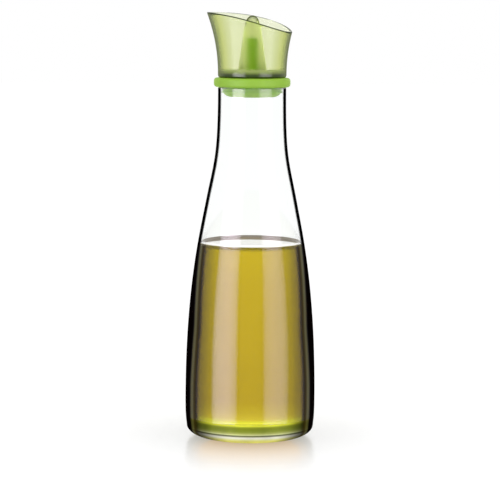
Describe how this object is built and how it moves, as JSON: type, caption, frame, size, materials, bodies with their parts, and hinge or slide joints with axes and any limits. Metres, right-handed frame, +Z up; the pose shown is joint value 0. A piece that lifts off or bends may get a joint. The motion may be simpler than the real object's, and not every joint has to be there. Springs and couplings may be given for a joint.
{
  "type": "glass oil bottle with drip-return pourer",
  "caption": "Pear-shaped clear glass bottle of oil with a green silicone stopper and a flared, hooded drip-return pouring cup that lifts off.",
  "frame": {"origin": "on the bottle's axis at the height of the table it stands on", "axes": "+Z up along the bottle's axis; +X towards the low side of the cup's rim, the side it pours from"},
  "size_m": [0.078, 0.078, 0.2543],
  "materials": {
    "clear_glass": "clear, fire-polished",
    "golden_oil": "clear golden liquid, still surface",
    "green_silicone": "satin moulded silicone",
    "green_tube": "satin moulded silicone",
    "tinted_plastic": "clear yellow-green tint, polished"
  },
  "bodies": {
    "bottle": {"glass_bottle": "clear_glass", "oil": "golden_oil"},
    "stopper": {"stopper": "green_silicone", "pour_tube": "green_tube"},
    "pourer": {"pourer_cup": "tinted_plastic"}
  },
  "joints": [
    {"name": "stopper_lift", "type": "slide", "parent": "bottle", "child": "stopper", "axis": [0, 0, 1], "range_m": [0, 0.03]},
    {"name": "cup_lift", "type": "slide", "parent": "stopper", "child": "pourer", "axis": [0, 0, 1], "range_m": [0, 0.04]}
  ]
}
